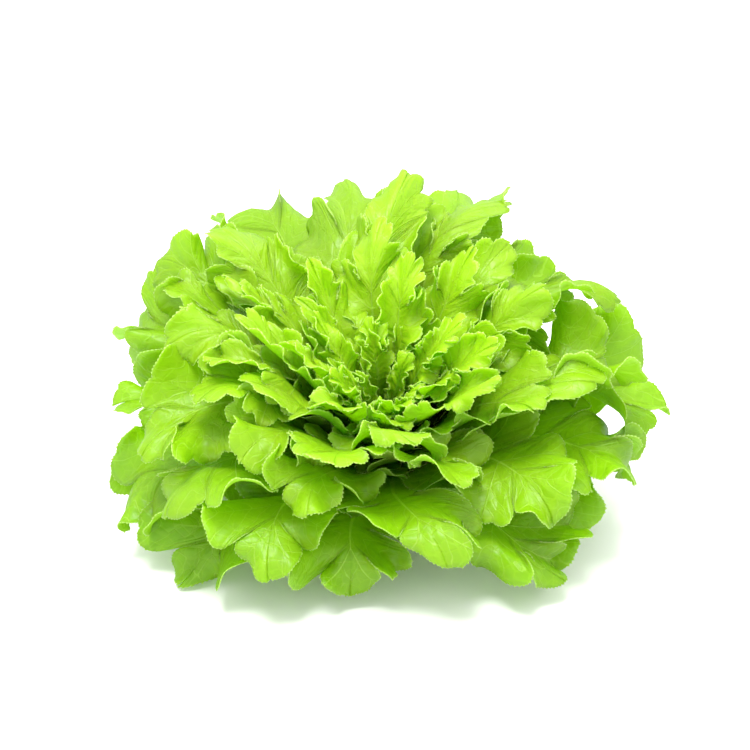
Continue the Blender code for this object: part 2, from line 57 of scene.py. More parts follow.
# %% [markdown]
# ## Where the leaves sit
#
# A real head adds its leaves one at a time, each turned by the golden angle from the last. The outer
# ones are long and lie low, the inner ones are short and stand up. Sixty leaves could be posed by
# hand, but they would pass through each other. So each leaf lies in a bowl of its own, one bowl
# inside the next. These driving values are the ones that the CAD model was made with.

# %% The stem and the order of the leaves
STEM_CUT_RADIUS = 16.5 * MM
STEM_TIP_RADIUS = 3.5 * MM
FIRST_LEAF_HEIGHT = 6 * MM
LAST_LEAF_HEIGHT = 44 * MM
STEM_GAP = 1.0 * MM  # from the stem's surface to the middle of a leaf's first edge

LARGE_LEAVES = 48
HEART_LEAVES = 13
LARGE_TO = 0.78  # layer of the last large leaf
HEART_FROM = 0.80  # layer of the first small leaf
LAYER_CROWDING = 1.15  # more than 1 sets the outer leaves closer together
GOLDEN_ANGLE = math.radians(-137.508)  # clockwise, seen from above
FIRST_CLOCK = math.radians(324)
SEED = 26
SEED_STEP = 1000  # more than there are leaves, so each leaf of each seed has its own draw

print("leaves in the rosette:", LARGE_LEAVES + HEART_LEAVES)

# %% [markdown]
# The side of a bowl is an arc that sets out from the stem at one angle and ends at another. The
# outermost bowl turns over past the horizontal, like a leaf that droops onto the table, and the
# innermost stays nearly upright.

# %% One bowl for each layer
OUTER_LENGTH = 141 * MM
LENGTH_GAIN = 124 * MM
LENGTH_LOSS = 190 * MM
START_ANGLE = math.radians(50)
END_ANGLE = math.radians(180)
END_ANGLE_FALL = math.radians(158)
END_FALL = 1.15
TIP_CURL = 1.6  # 1 bends a leaf evenly, more bends it mostly near its tip

HEAD_RADIUS = 130 * MM

BOWL_STEPS = 60
BOWL_REACH = 1.4  # how far a bowl goes on past a leaf of the usual length


def leaf_length(layer):
    return OUTER_LENGTH + LENGTH_GAIN * layer - LENGTH_LOSS * layer**2


def bowl_side(layer, forward):
    """Radius, height and slope of a layer's bowl at a distance from the stem."""
    length = leaf_length(layer)
    start = START_ANGLE * (1 - layer)
    end = END_ANGLE - END_ANGLE_FALL * layer**END_FALL
    path = np.linspace(0, BOWL_REACH * length, BOWL_STEPS + 1)
    slope = start + (end - start) * (path / length) ** TIP_CURL
    step = BOWL_REACH * length / BOWL_STEPS
    middle = 0.5 * (slope[1:] + slope[:-1])
    out = np.concatenate([[0], np.cumsum(step * np.sin(middle))])
    up = np.concatenate([[0], np.cumsum(step * np.cos(middle))])
    first_radius = STEM_CUT_RADIUS + (STEM_TIP_RADIUS - STEM_CUT_RADIUS) * layer + STEM_GAP
    first_height = FIRST_LEAF_HEIGHT + (LAST_LEAF_HEIGHT - FIRST_LEAF_HEIGHT) * layer
    radius = first_radius + np.interp(forward, path, out)
    height = first_height + np.interp(forward, path, up)
    return radius, height, np.interp(forward, path, slope)


print("outermost leaf, mm:", round(leaf_length(0) / MM))

# %% [markdown]
# No real leaf is as smooth as a bowl, so shared waves run through all the bowls at once. Because
# neighbours rise and fall together, the waves never make them meet.

# %% Waves through all the bowls
WAVES = (
    # height, waves round the head, waves along a leaf, phase, change of phase from layer 0 to 1
    (11 * MM, 8, 0.9, 0.3, 5.0),
    (7 * MM, -13, 1.3, 1.9, -7.0),
)
WAVE_GROWTH = 1.5  # a wave grows with this power of the distance from the stem
WAVE_SHARE = 1.2  # of a leaf's length, where the waves stop growing


def bowl_point(layer, clock, forward, sideways, above):
    """A point of the rosette before it leans, from its place in its layer's bowl."""
    radius, height, angle = bowl_side(layer, forward)
    around = clock + sideways / np.maximum(radius, 0.5 * STEM_CUT_RADIUS)
    share = forward / leaf_length(layer)
    growth = np.clip(share, 0, WAVE_SHARE) ** WAVE_GROWTH * radius / HEAD_RADIUS
    for wave_height, round_head, along_leaf, phase, drift in WAVES:
        turn = round_head * around + 2 * math.pi * along_leaf * share
        above = above + wave_height * growth * np.sin(turn + phase + drift * layer)
    radius = radius - above * np.cos(angle)
    height = height + above * np.sin(angle)
    return np.stack([radius * np.sin(around), -radius * np.cos(around), height], axis=-1)


print("tallest wave, mm:", round(max(wave[0] for wave in WAVES) / MM))

# %% [markdown]
# ## The head settles
#
# A cut head never stands square. It leans towards the side that it shows, fills out into a squat
# dome, swells this way and that, and its lowest leaves press on the table. All of these are smooth
# moves of space itself, so leaves that were clear of each other stay clear.

# %% Lean
LEAN = math.radians(35)
LEAN_CLOCK = math.radians(-4)
LEAN_PIVOT_HEIGHT = 12 * MM
LEAN_FROM = 8 * MM  # from the pivot; nearer than this the stem stays upright
LEAN_TO = 60 * MM


def smooth_step(x):
    x = np.clip(x, 0, 1)
    return x * x * (3 - 2 * x)


def lean_over(points):
    """Lean what stands up, more the nearer it is to the stem's axis."""
    pivot = np.array([0, 0, LEAN_PIVOT_HEIGHT])
    arm = points - pivot
    reach = np.maximum(np.linalg.norm(arm, axis=-1), 1e-9)
    from_axis = np.arccos(np.clip(arm[..., 2] / reach, -1, 1))
    upright = np.clip(1 - from_axis / (0.5 * math.pi), 0, 1)
    angle = (LEAN * upright * smooth_step((reach - LEAN_FROM) / (LEAN_TO - LEAN_FROM)))[..., None]
    axle = np.array([math.cos(LEAN_CLOCK), math.sin(LEAN_CLOCK), 0])
    turned = arm * np.cos(angle) + np.cross(axle, arm) * np.sin(angle)
    turned += axle * (arm @ axle)[..., None] * (1 - np.cos(angle))
    return pivot + turned


print("lean, degrees:", round(math.degrees(LEAN)))

# %% [markdown]
# The dome is a rounded box rather than a ball: seen from the side, its leaves reach into the corners
# above and beside the stem. Whatever would stick out far is held in.

# %% Fill the dome
SHAPE_FROM = 35 * MM  # from the pivot; the dome and the swells begin to shape the leaves here
SHAPE_TO = 85 * MM
DOME_RADIUS = 152 * MM
DOME_HEIGHT = 175 * MM  # above the pivot
PLAN_POWER = 2.3  # 2 keeps the head round, seen from above; more makes it squarer
DOME_POWER = 2.6  # the same, seen from the side
DOME_HOLD_FROM = 0.8  # of the dome's size; what reaches further out is held in


def shaped_share(arm):
    """0 near the pivot of the lean, where nothing is pushed about, and 1 well away from it."""
    return smooth_step((np.linalg.norm(arm, axis=-1) - SHAPE_FROM) / (SHAPE_TO - SHAPE_FROM))


def fill_dome(points):
    """Push the outer leaves into a squarish dome's corners, and hold in what sticks out of it."""
    pivot = np.array([0, 0, LEAN_PIVOT_HEIGHT])
    arm = points - pivot
    upward = np.abs(arm[..., 2]) / DOME_HEIGHT
    rounded = np.hypot(np.linalg.norm(arm[..., :2], axis=-1) / DOME_RADIUS, upward)
    plan = (np.abs(arm[..., :2]) ** PLAN_POWER).sum(axis=-1) ** (1 / PLAN_POWER) / DOME_RADIUS
    squared = (plan**DOME_POWER + upward**DOME_POWER) ** (1 / DOME_POWER)
    stretch = 1 + shaped_share(arm) * (rounded / np.maximum(squared, 1e-9) - 1)
    reach = stretch * squared
    room = 1 - DOME_HOLD_FROM
    past = np.maximum(reach - DOME_HOLD_FROM, 0)
    held = np.where(past > 0, DOME_HOLD_FROM + room * (1 - np.exp(-past / room)), reach)
    return pivot + arm * (stretch * held / np.maximum(reach, 1e-9))[..., None]


print("dome, mm:", round(DOME_RADIUS / MM), "across its radius,", round(DOME_HEIGHT / MM), "tall")

# %% [markdown]
# Last come the long swells and the table. What would go below the table is squeezed flat just above
# it, so the order of the leaves is kept there too.

# %% Swell and press
SWELL_HEIGHT = 5 * MM
SWELL_LENGTH = 115 * MM
SWELLS = (
    # for x, y and z: the direction in which the swell runs, and its phase
    ((0.0, 0.8, 0.6), 1.0),
    ((0.8, 0.0, -0.6), 2.2),
    ((0.7, 0.7, 0.0), 0.4),
)
SQUEEZE_FROM = 9 * MM  # above the floor
LOWEST_LEAF = 0.8 * MM


def push_about(points):
    """Move the outer leaves by a long, low swell, so that no two sides are alike."""
    amount = SWELL_HEIGHT * shaped_share(points - [0, 0, LEAN_PIVOT_HEIGHT])
    turn = 2 * math.pi / SWELL_LENGTH
    moves = [np.sin(turn * (points @ np.array(way)) + phase) for way, phase in SWELLS]
    return points + amount[..., None] * np.stack(moves, axis=-1)


def press_on_floor(points):
    """Flatten what would go below the floor onto it, nothing through anything else."""
    pressed = np.array(points)
    room = SQUEEZE_FROM - LOWEST_LEAF
    low = np.minimum(points[..., 2] - SQUEEZE_FROM, 0)
    squeezed = LOWEST_LEAF + room * np.exp(low / room)
    pressed[..., 2] = np.where(low < 0, squeezed, points[..., 2])
    return pressed


def settle(points):
    return press_on_floor(push_about(fill_dome(lean_over(points))))


print("swell, mm:", round(SWELL_HEIGHT / MM))

# %% [markdown]
# ## The outline of one oak leaf
#
# An oak leaf lettuce leaf is a narrow pale stalk with three pairs of rounded lobes and a broad lobe at
# its tip. The sheet is ruled with rows that leave the midrib at a slant, like its side veins. The
# width of each row follows the lobes, and the rows fan out inside a lobe to make it round.

# %% Proportions of a leaf
SHORTEST_LEAF = 0.84  # of its layer's length
LONGEST_LEAF = 1.0
MIDRIB_END = 0.75
ROW_CROWDING = 1.5  # more than 1 sets the rows closer together towards the tip, which rounds it
STALK_WIDTH = 0.053
STALK_FLARE = 0.1
LOBE_EDGES = (0.14, 0.33, 0.56, 0.80)  # where lobes meet along the midrib, from the stalk's end
LOBE_REACHES = (0.16, 0.25, 0.28, 0.22)  # the last is the tip's own lobe
SINUS_WIDTHS = (0.065, 0.065, 0.085)  # half the blade's width between two lobes
LOBE_ROUNDNESS = 2.1
LOBE_SHOULDER = 0.55  # of half a lobe's width, where a row holds its round shape
TIP_SHOULDERS = (0.35, 0.7)  # of the tip lobe's height
LOBE_FAN = math.radians(24)  # how far a lobe's rows spread at its margin
TIP_FAN = math.radians(51)
FAN_FROM = 0.35  # of the way from the midrib to the margin
SWEEP_PLACES = (0.0, 0.25, 0.56, 0.80, 1.0)
SWEEPS = tuple(math.radians(angle) for angle in (82, 76, 58, 33, 0))
WIDEST_WRAP = math.radians(43)  # half a leaf's width, as an angle round the stem's axis
WRAP_SHARPNESS = 4.0

@dataclass
class Leaf:
    """One leaf's place in the rosette and its own shape; sides are 0 left and 1 right."""

    name: str
    layer: float
    clock: float
    length: float
    sway: float
    edges: np.ndarray  # where the lobes meet along the midrib, the stalk's end first
    reaches: np.ndarray  # of each lobe, by side
    bends: np.ndarray  # of each lobe, by side; down is negative
    tip_bend: float
    ease: np.ndarray  # 1 keeps a row's bend and 0 lays it flat, by side

    def rows(self):
        """Fractions of the midrib where a row of vertices crosses it."""
        rows = [0.0, self.edges[0]]
        for lobe, (start, end) in enumerate(zip(self.edges[:-1], self.edges[1:])):
            middle = 0.5 * (start + end)
            shoulder = 0.5 * (end - start) * LOBE_SHOULDER
            rows += [middle] if lobe == 0 else [middle - shoulder, middle + shoulder]
            rows.append(end)
        tip_height = 1 - self.edges[-1]
        rows += [self.edges[-1] + share * tip_height for share in TIP_SHOULDERS]
        return np.array([*rows, 1.0])


print("lobes on each side:", len(LOBE_EDGES))

# %% [markdown]
# Two small helpers keep the shape smooth: one joins values with level curves, the other takes the
# smaller of two widths without a corner.

# %% The width of a leaf, row by row
def smooth_between(at, places, values):
    """Values at places, joined by smooth curves that are level at each of them."""
    index = np.clip(np.searchsorted(places, at, side="right") - 1, 0, len(places) - 2)
    start, end = places[index], places[index + 1]
    step = smooth_step((at - start) / (end - start))
    return values[index] + (values[index + 1] - values[index]) * step


def smaller_of(width, widest):
    """The smaller of two widths, without a corner where they are alike."""
    return (width**-WRAP_SHARPNESS + widest**-WRAP_SHARPNESS) ** (-1 / WRAP_SHARPNESS)


def midrib_distance(leaf, along):
    """Distance from the stem where each row sets out from the midrib."""
    return MIDRIB_END * leaf.length * (1 - (1 - along) ** ROW_CROWDING)


def leaf_outline(leaf, side, along):
    """Half width of the blade, and where its rows set out and end, at fractions of the midrib."""
    edges = leaf.edges
    stem_share = 1 + (STEM_TIP_RADIUS / STEM_CUT_RADIUS - 1) * leaf.layer
    feet = np.array([STALK_WIDTH * stem_share, *SINUS_WIDTHS, SINUS_WIDTHS[-1]]) * leaf.length
    width = feet[0] * (1 + STALK_FLARE * (1 - along / edges[0]) ** 2)
    sweep = np.interp(along, SWEEP_PLACES, SWEEPS)
    fan = np.zeros_like(along)
    for lobe in range(len(edges)):
        start = edges[lobe]
        tip_lobe = lobe == len(edges) - 1
        half = (1 - start) if tip_lobe else 0.5 * (edges[lobe + 1] - start)
        place = (along - start) / half - 1
        inside = (along >= start) & (place <= 1)
        foot = feet[lobe] + (feet[lobe + 1] - feet[lobe]) * np.clip(0.5 * (place + 1), 0, 1)
        bulge = np.clip(1 - np.abs(place) ** LOBE_ROUNDNESS, 0, 1) ** (1 / LOBE_ROUNDNESS)
        reach = leaf.reaches[side][lobe] * leaf.length
        width = np.where(inside, foot + (reach - foot) * bulge, width)
        spread = TIP_FAN if tip_lobe else LOBE_FAN
        fan = np.where(inside, -spread * place * (1 - place**4), fan)
    radius, _, _ = bowl_side(leaf.layer, midrib_distance(leaf, along))
    return smaller_of(width, WIDEST_WRAP * radius), sweep, fan


print("widest lobe, share of the length:", max(LOBE_REACHES))

# %% [markdown]
# Each lobe curls up or down on its own, which gives this lettuce its loose, tumbling look. Between
# two lobes the margin bends the other way.

# %% The curl of a leaf, row by row
LEAST_BEND = math.radians(55)
MOST_BEND = math.radians(150)
DOWN_SHARE = 0.6  # of the lobes; the others bend up
UP_BEND = 0.8  # of a bend down
TIP_LOBE_BEND = 0.6  # of another lobe's
SINUS_BEND = 0.35  # of its two lobes' bends, the other way
CURL_POWER = 1.8  # above 1, a lobe stays flat near its midrib and curls at its margin
TIP_BENDS = (math.radians(-60), math.radians(10))


def row_bends(leaf, side, along):
    """Angle that each row turns through between the midrib and the margin."""
    edges = leaf.edges
    bends = leaf.bends[side]
    places = [0.0, edges[0]]
    values = [0.0, 0.0]
    for lobe in range(len(edges) - 1):
        places += [0.5 * (edges[lobe] + edges[lobe + 1]), edges[lobe + 1]]
        values += [bends[lobe], -SINUS_BEND * (bends[lobe] + bends[lobe + 1])]
    places += [edges[-1] + 0.5 * (1 - edges[-1]), 1.0]
    values += [bends[-1], leaf.tip_bend]
    bend = smooth_between(along, np.array(places), np.array(values))
    return bend * np.interp(along, leaf.rows(), leaf.ease[side])


def run(steps):
    """Sums along each row, from nothing at the midrib."""
    return np.concatenate([np.zeros((len(steps), 1)), np.cumsum(steps, axis=1)], axis=1)


print("strongest curl, degrees:", round(math.degrees(MOST_BEND)))

# %% [markdown]
# Each row walks from the midrib to the margin in small steps, turning up or down as it goes, and
# every step is placed in the leaf's bowl. The same function gives the coarse sheet of the CAD solid
# and the fine sheet of the finished leaf: only the rows and the picked steps differ.

# %% Points of a leaf
BEND_STEPS = 24  # from the midrib to the margin
COARSE_STEPS = (0, 12, 24)  # those where a solid has its vertices


def leaf_points(leaf, along, picks):
    """Rows of points from the left margin to the right margin, at fractions of the midrib.

    Each row bends in BEND_STEPS steps on either side, and picks are the steps that get a point.
    """
    halves = []
    for side in (0, 1):
        width, sweep, fan = leaf_outline(leaf, side, along)
        bend = row_bends(leaf, side, along)
        share = np.linspace(0, 1, BEND_STEPS + 1)
        middles = 0.5 * (share[1:] + share[:-1])
        turned = bend[:, None] * middles[None, :] ** CURL_POWER
        course = sweep[:, None] + fan[:, None] * smooth_step((middles - FAN_FROM) / (1 - FAN_FROM))
        step = width[:, None] / BEND_STEPS
        forward = midrib_distance(leaf, along)[:, None] + run(step * np.cos(turned) * np.cos(course))
        sideways = run(step * np.cos(turned) * np.sin(course)) * (1 if side else -1)
        above = run(step * np.sin(turned))
        clock = leaf.clock + leaf.sway * (forward / leaf.length) ** 2
        points = bowl_point(leaf.layer, clock, forward, sideways, above)
        picked = points[:, list(picks)]
        halves.append(picked if side else picked[:, :0:-1])
    return settle(np.concatenate(halves, axis=1))


print("steps in a row:", BEND_STEPS)

# %% [markdown]
# ## Leaves that stay clear of each other
#
# Lobes that curl down can reach the leaf below. The CAD model eases such curls until its solids are
# clear. The same easing is worked out again here on the same coarse sheets, so that each fine leaf
# lies exactly where its solid does. First, a coarse sheet needs triangles, normals and a thickness.

# %% The coarse solid's thickness
BLADE = 0.8 * MM
RIB = 1.9 * MM
RIB_END = 0.6  # of the midrib
RIB_THINNING = 0.8  # from the outermost leaf to the growing tip
RIB_SPREAD = 0.625  # of the way to the margin
CLEARANCE = 0.2 * MM
OWN_CLEARANCE = 0.15 * MM


def leaf_thickness(leaf, along):
    """Full thickness at each vertex: the rib thins out towards the tip and the margins."""
    right = np.array(COARSE_STEPS) / BEND_STEPS
    across = np.concatenate([right[:0:-1], right])
    rib = (RIB - BLADE) * (1 - RIB_THINNING * leaf.layer) * np.clip(1 - along / RIB_END, 0, 1)
    return BLADE + rib[:, None] * np.clip(1 - across[None, :] / RIB_SPREAD, 0, 1)


def grid_triangles(points):
    """Two triangles for each cell of a grid of points, cut along the cell's shorter diagonal."""
    rows, columns = points.shape[:2]
    number = np.arange(rows * columns).reshape(rows, columns)
    corners = [number[:-1, :-1], number[:-1, 1:], number[1:, 1:], number[1:, :-1]]
    a, b, c, d = (corner.ravel() for corner in corners)
    flat = points.reshape(-1, 3)
    first = np.linalg.norm(flat[a] - flat[c], axis=1) < np.linalg.norm(flat[b] - flat[d], axis=1)
    lower = np.where(first[:, None], np.stack([a, b, c], 1), np.stack([a, b, d], 1))
    upper = np.where(first[:, None], np.stack([a, c, d], 1), np.stack([b, c, d], 1))
    return np.stack([lower, upper], axis=1).reshape(-1, 3)


def point_normals(points, triangles):
    """The normal at each point: its triangles' normals, weighted by their corner angles."""
    flat = points.reshape(-1, 3)
    corners = flat[triangles]
    faces = np.cross(corners[:, 1] - corners[:, 0], corners[:, 2] - corners[:, 0])
    faces /= np.maximum(np.linalg.norm(faces, axis=1, keepdims=True), 1e-12)
    normals = np.zeros_like(flat)
    for k in range(3):
        one = corners[:, (k + 1) % 3] - corners[:, k]
        two = corners[:, (k + 2) % 3] - corners[:, k]
        cosine = (one * two).sum(axis=1) / np.maximum(
            np.linalg.norm(one, axis=1) * np.linalg.norm(two, axis=1), 1e-12
        )
        angle = np.arccos(np.clip(cosine, -1, 1))
        np.add.at(normals, triangles[:, k], faces * angle[:, None])
    size = np.maximum(np.linalg.norm(normals, axis=1, keepdims=True), 1e-12)
    return (normals / size).reshape(points.shape)


print("blade, mm:", BLADE / MM)

# %% [markdown]
# The thick shape, a little larger than the solid, goes into a search tree that finds where it meets
# another shape or itself.

# %% Where leaves meet
def clearance_shell(leaf, margin):
    """The leaf's thick shape as points and triangles, larger than the solid by a margin."""
    along = leaf.rows()
    points = leaf_points(leaf, along, COARSE_STEPS)
    triangles = grid_triangles(points)
    shift = point_normals(points, triangles)
    shift = shift * (0.5 * leaf_thickness(leaf, along) + margin)[..., None]
    rows, across = points.shape[:2]
    number = np.arange(rows * across).reshape(rows, across)
    rim = np.concatenate([number[::-1, 0], number[0, 1:], number[1:, -1]])
    start, end = rim[:-1], rim[1:]
    under = rows * across
    walls = [np.stack([start, end, start + under], 1), np.stack([end, end + under, start + under], 1)]
    both = np.concatenate([(points + shift).reshape(-1, 3), (points - shift).reshape(-1, 3)])
    faces = np.concatenate([triangles, triangles[:, ::-1] + under, *walls])
    return both, faces


def clearance_tree(leaf):
    both, faces = clearance_shell(leaf, CLEARANCE)
    return BVHTree.FromPolygons(both.tolist(), faces.tolist()), both.min(axis=0), both.max(axis=0)


def own_meetings(leaf):
    """Triangles where the leaf's solid would pass through itself."""
    both, faces = clearance_shell(leaf, OWN_CLEARANCE)
    tree = BVHTree.FromPolygons(both.tolist(), faces.tolist())
    on_one_side = len(both) // 2
    last_row = on_one_side - 2 * len(COARSE_STEPS) + 1
    at_tip = (faces % on_one_side).max(axis=1) >= last_row
    met = set()
    for a, b in tree.overlap(tree):
        if a < b and not (at_tip[a] and at_tip[b]) and not set(faces[a]) & set(faces[b]):
            met.update((a, b))
    return met


def triangle_place(leaf, triangle):
    """The row and side of the leaf that a triangle of its thick shape belongs to."""
    last_row = len(leaf.rows()) - 2
    on_a_side = len(COARSE_STEPS) - 1
    in_row = 2 * on_a_side
    cells = in_row * (last_row + 1)
    if triangle < 4 * cells:
        row, column = divmod((triangle // 2) % cells, in_row)
        return row, int(column >= on_a_side)
    step = (triangle - 4 * cells) % (2 * (last_row + 1) + in_row)
    if step <= last_row:
        return last_row - step, 0
    return max(step - last_row - 1 - in_row, 0), 1


print("clearance, mm:", CLEARANCE / MM)

# %% [markdown]
# Wherever two shapes meet, their rows are laid a little flatter, and the test is run again until
# nothing meets.

# %% Ease the curls
EASE_STEP = 0.88
EASE_ROUNDS = 80


def ease_rows(leaf, met):
    """Lay the rows that the met triangles belong to a little flatter."""
    for row, side in {triangle_place(leaf, triangle) for triangle in met}:
        leaf.ease[side][max(row - 1, 0) : row + 3] *= EASE_STEP
    leaf.ease[:, -1] = leaf.ease[:, -1].min()


def bend_clear(leaves):
    """Ease the bends where leaves meet, until no leaf meets another or itself."""
    trees = [clearance_tree(leaf) for leaf in leaves]
    changed = set(range(len(leaves)))
    for _ in range(EASE_ROUNDS):
        met = [own_meetings(leaf) if i in changed else set() for i, leaf in enumerate(leaves)]
        for i, (tree, low, high) in enumerate(trees[:LARGE_LEAVES]):
            for j in range(i + 1, len(leaves)):
                other, other_low, other_high = trees[j]
                if (low > other_high).any() or (other_low > high).any():
                    continue
                for a, b in tree.overlap(other):
                    met[i].add(a)
                    met[j].add(b)
        changed = {i for i in range(len(leaves)) if met[i]}
        if not changed:
            break
        for i in changed:
            ease_rows(leaves[i], met[i])
            trees[i] = clearance_tree(leaves[i])
    print("leaves that still meet:", [leaves[i].name for i in sorted(changed)])


print("rounds at most:", EASE_ROUNDS)

# %% [markdown]
# ## The rosette
#
# Each leaf gets its own small differences from a seeded draw: where its lobes meet, how far they
# reach and how they curl.

# %% Grow the rosette
EDGE_SHIFT = 0.02
REACH_CHANGE = 0.18
MOST_SWAY = math.radians(14)


def grow_leaf(name, index, layer):
    """A leaf at its place in the rosette, with its own seeded differences."""
    draw = np.random.default_rng(SEED_STEP * SEED + index)
    lobes = len(LOBE_EDGES)
    edges = np.array(LOBE_EDGES) + draw.uniform(-EDGE_SHIFT, EDGE_SHIFT, lobes)
    reaches = np.tile(np.array(LOBE_REACHES), (2, 1))
    reaches[:, :-1] *= draw.uniform(1 - REACH_CHANGE, 1 + REACH_CHANGE, (2, lobes - 1))
    bends = draw.uniform(LEAST_BEND, MOST_BEND, (2, lobes))
    bends *= np.where(draw.random((2, lobes)) < DOWN_SHARE, -1, UP_BEND)
    bends[:, -1] *= TIP_LOBE_BEND
    return Leaf(
        name=name,
        layer=layer,
        clock=FIRST_CLOCK + GOLDEN_ANGLE * index,
        length=leaf_length(layer) * draw.uniform(SHORTEST_LEAF, LONGEST_LEAF),
        sway=draw.uniform(-MOST_SWAY, MOST_SWAY),
        edges=edges,
        reaches=reaches,
        bends=bends,
        tip_bend=draw.uniform(*TIP_BENDS),
        ease=np.ones((2, 3 * lobes + 1)),
    )


def rosette():
    leaves = []
    for index in range(LARGE_LEAVES + HEART_LEAVES):
        if index < LARGE_LEAVES:
            layer = LARGE_TO * (index / LARGE_LEAVES) ** LAYER_CROWDING
            name = f"leaf_{index + 1:02d}"
        else:
            layer = HEART_FROM + (1 - HEART_FROM) * (index - LARGE_LEAVES) / HEART_LEAVES
            name = f"heart_{index - LARGE_LEAVES + 1:02d}"
        leaves.append(grow_leaf(name, index, layer))
    return leaves


leaves = rosette()
bend_clear(leaves)
print("mean ease of the curls:", round(float(np.mean([leaf.ease.mean() for leaf in leaves])), 3))

# %% [markdown]
# ## Frills in the heart
#
# The middle of a real head is packed with dozens of tiny frilled leaves. The CAD heart holds thirteen
# of them. The smallest ones, a few centimetres long, are added here between the others. They are
# hidden at their feet and are too small to be worth solids of their own.

# %% Add the frills
FRILLS = 40
FRILL_LAYERS = (0.5, 0.985)
FRILL_LENGTHS = (0.62, 0.95)  # of their layer's length
FRILL_CURL = (0.35, 0.9)  # of a large leaf's, from the first frill to the innermost
FRILL_SWAY = math.radians(30)  # frills lean across each other


def grow_frills():
    draw = np.random.default_rng(SEED)
    frills = []
    for number in range(FRILLS):
        share = number / (FRILLS - 1)
        layer = FRILL_LAYERS[0] + (FRILL_LAYERS[1] - FRILL_LAYERS[0]) * share
        frill = grow_leaf(f"frill_{number + 1:02d}", 200 + number, layer)
        frill.length = leaf_length(layer) * draw.uniform(*FRILL_LENGTHS)
        frill.ease[:] = FRILL_CURL[0] + (FRILL_CURL[1] - FRILL_CURL[0]) * share
        frill.sway = draw.uniform(-FRILL_SWAY, FRILL_SWAY)
        frill.bends *= draw.choice((-1, 1), (2, 1))
        frills.append(frill)
    return frills


leaves += grow_frills()
print("leaves to make:", len(leaves))

# %% [markdown]
# ## Colours
#
# Colours are read from the photo as sRGB hex values, the way a paint program shows them. Blender's
# shaders work in linear light, so one function turns them over.

# %% Hex to linear
def linear(hex_colour):
    """An sRGB hex colour, such as 9ccc3c, as linear RGBA."""
    channels = [int(hex_colour[i : i + 2], 16) / 255 for i in (0, 2, 4)]
    straight = [c / 12.92 if c <= 0.04045 else ((c + 0.055) / 1.055) ** 2.4 for c in channels]
    return (*straight, 1.0)


print("leaf green, linear:", [round(c, 3) for c in linear("8cc63f")[:3]])

# %% [markdown]
# Every material below is a small tree of nodes. This one function adds a node. Its settings are
# attributes or sockets of the node, and its links lead from other nodes' outputs. A socket is given
# by its name, or by its number where several share a name.

# %% Add a node
def add_node(tree, kind, settings=None, links=None):
    """A node with its settings and with its sockets linked to their sources."""
    node = tree.nodes.new(kind)
    for key, value in (settings or {}).items():
        if isinstance(key, str) and hasattr(node, key):
            setattr(node, key, value)
        else:
            node.inputs[key].default_value = value
    for key, source in (links or {}).items():
        tree.links.new(source, node.inputs[key])
    return node


def new_material(name):
    """An empty material, and its tree of nodes."""
    material = bpy.data.materials.new(name)
    material.use_nodes = True
    material.node_tree.nodes.clear()
    return material, material.node_tree


print("nodes are added by", add_node.__name__)

# %% [markdown]
# ## Ribs and veins
#
# A leaf has a wide pale midrib, a vein into each lobe, slanting side veins between them and a net of
# fine veins. They could be painted on a flat map, but they belong to the sheet's own rows. So each
# leaf's mesh carries distances, such as how far a point is from the midrib, and the shader turns
# each distance into a line: 1 on the vein and 0 beside it.

# %% Lines that follow the leaf
RIB_FOOT = 1.9 * MM  # half the midrib's width at the foot of the leaf
RIB_TAPER = -1.6 * MM  # how much it narrows by the tip
LOBE_VEIN = 0.6 * MM
SIDE_VEIN = 0.4 * MM
SIDE_VEIN_GAP = 9 * MM
VEIN_WANDER = 5 * MM
VEIN_NET = 5.5 * MM  # across one cell of the net


def side_vein_gap(tree, place):
    """The distance to the nearest side vein, which is 0 on the vein."""
    branch = add_node(tree, "ShaderNodeAttribute", {"attribute_name": "branch"})
    wander = add_node(tree, "ShaderNodeTexNoise", {"Scale": 1 / SIDE_VEIN_GAP, "Detail": 1.0}, {"Vector": place})
    shifted = add_node(tree, "ShaderNodeMath", {"operation": "MULTIPLY_ADD", 1: VEIN_WANDER},
        {0: wander.outputs["Fac"], 2: branch.outputs["Fac"]})
    return add_node(tree, "ShaderNodeMath", {"operation": "PINGPONG", 1: 0.5 * SIDE_VEIN_GAP},
        {0: shifted.outputs[0]}).outputs[0]


def vein_lines(tree, gap):
    """Midrib, lobe veins and side veins together, 1 on a vein and 0 beside it."""
    midrib = add_node(tree, "ShaderNodeAttribute", {"attribute_name": "midrib"})
    outward = add_node(tree, "ShaderNodeAttribute", {"attribute_name": "outward"})
    lobe_vein = add_node(tree, "ShaderNodeAttribute", {"attribute_name": "lobe_vein"})
    width = add_node(tree, "ShaderNodeMath",
        {"operation": "MULTIPLY_ADD", 1: RIB_TAPER, 2: RIB_FOOT}, {0: outward.outputs["Fac"]})
    ratio = add_node(tree, "ShaderNodeMath", {"operation": "DIVIDE"},
        {0: midrib.outputs["Fac"], 1: width.outputs[0]})
    rib = add_node(tree, "ShaderNodeMapRange",
        {"interpolation_type": "SMOOTHSTEP", "From Min": 1.2, "From Max": 0.5}, {"Value": ratio.outputs[0]})
    lobe = add_node(tree, "ShaderNodeMapRange",
        {"interpolation_type": "SMOOTHSTEP", "From Min": LOBE_VEIN, "From Max": 0.2 * LOBE_VEIN},
        {"Value": lobe_vein.outputs["Fac"]})
    side = add_node(tree, "ShaderNodeMapRange",
        {"interpolation_type": "SMOOTHSTEP", "From Min": SIDE_VEIN, "From Max": 0.2 * SIDE_VEIN, "To Max": 0.6},
        {"Value": gap})
    large = add_node(tree, "ShaderNodeMath", {"operation": "MAXIMUM"}, {0: rib.outputs[0], 1: lobe.outputs[0]})
    return add_node(tree, "ShaderNodeMath", {"operation": "MAXIMUM"},
        {0: large.outputs[0], 1: side.outputs[0]}).outputs[0]


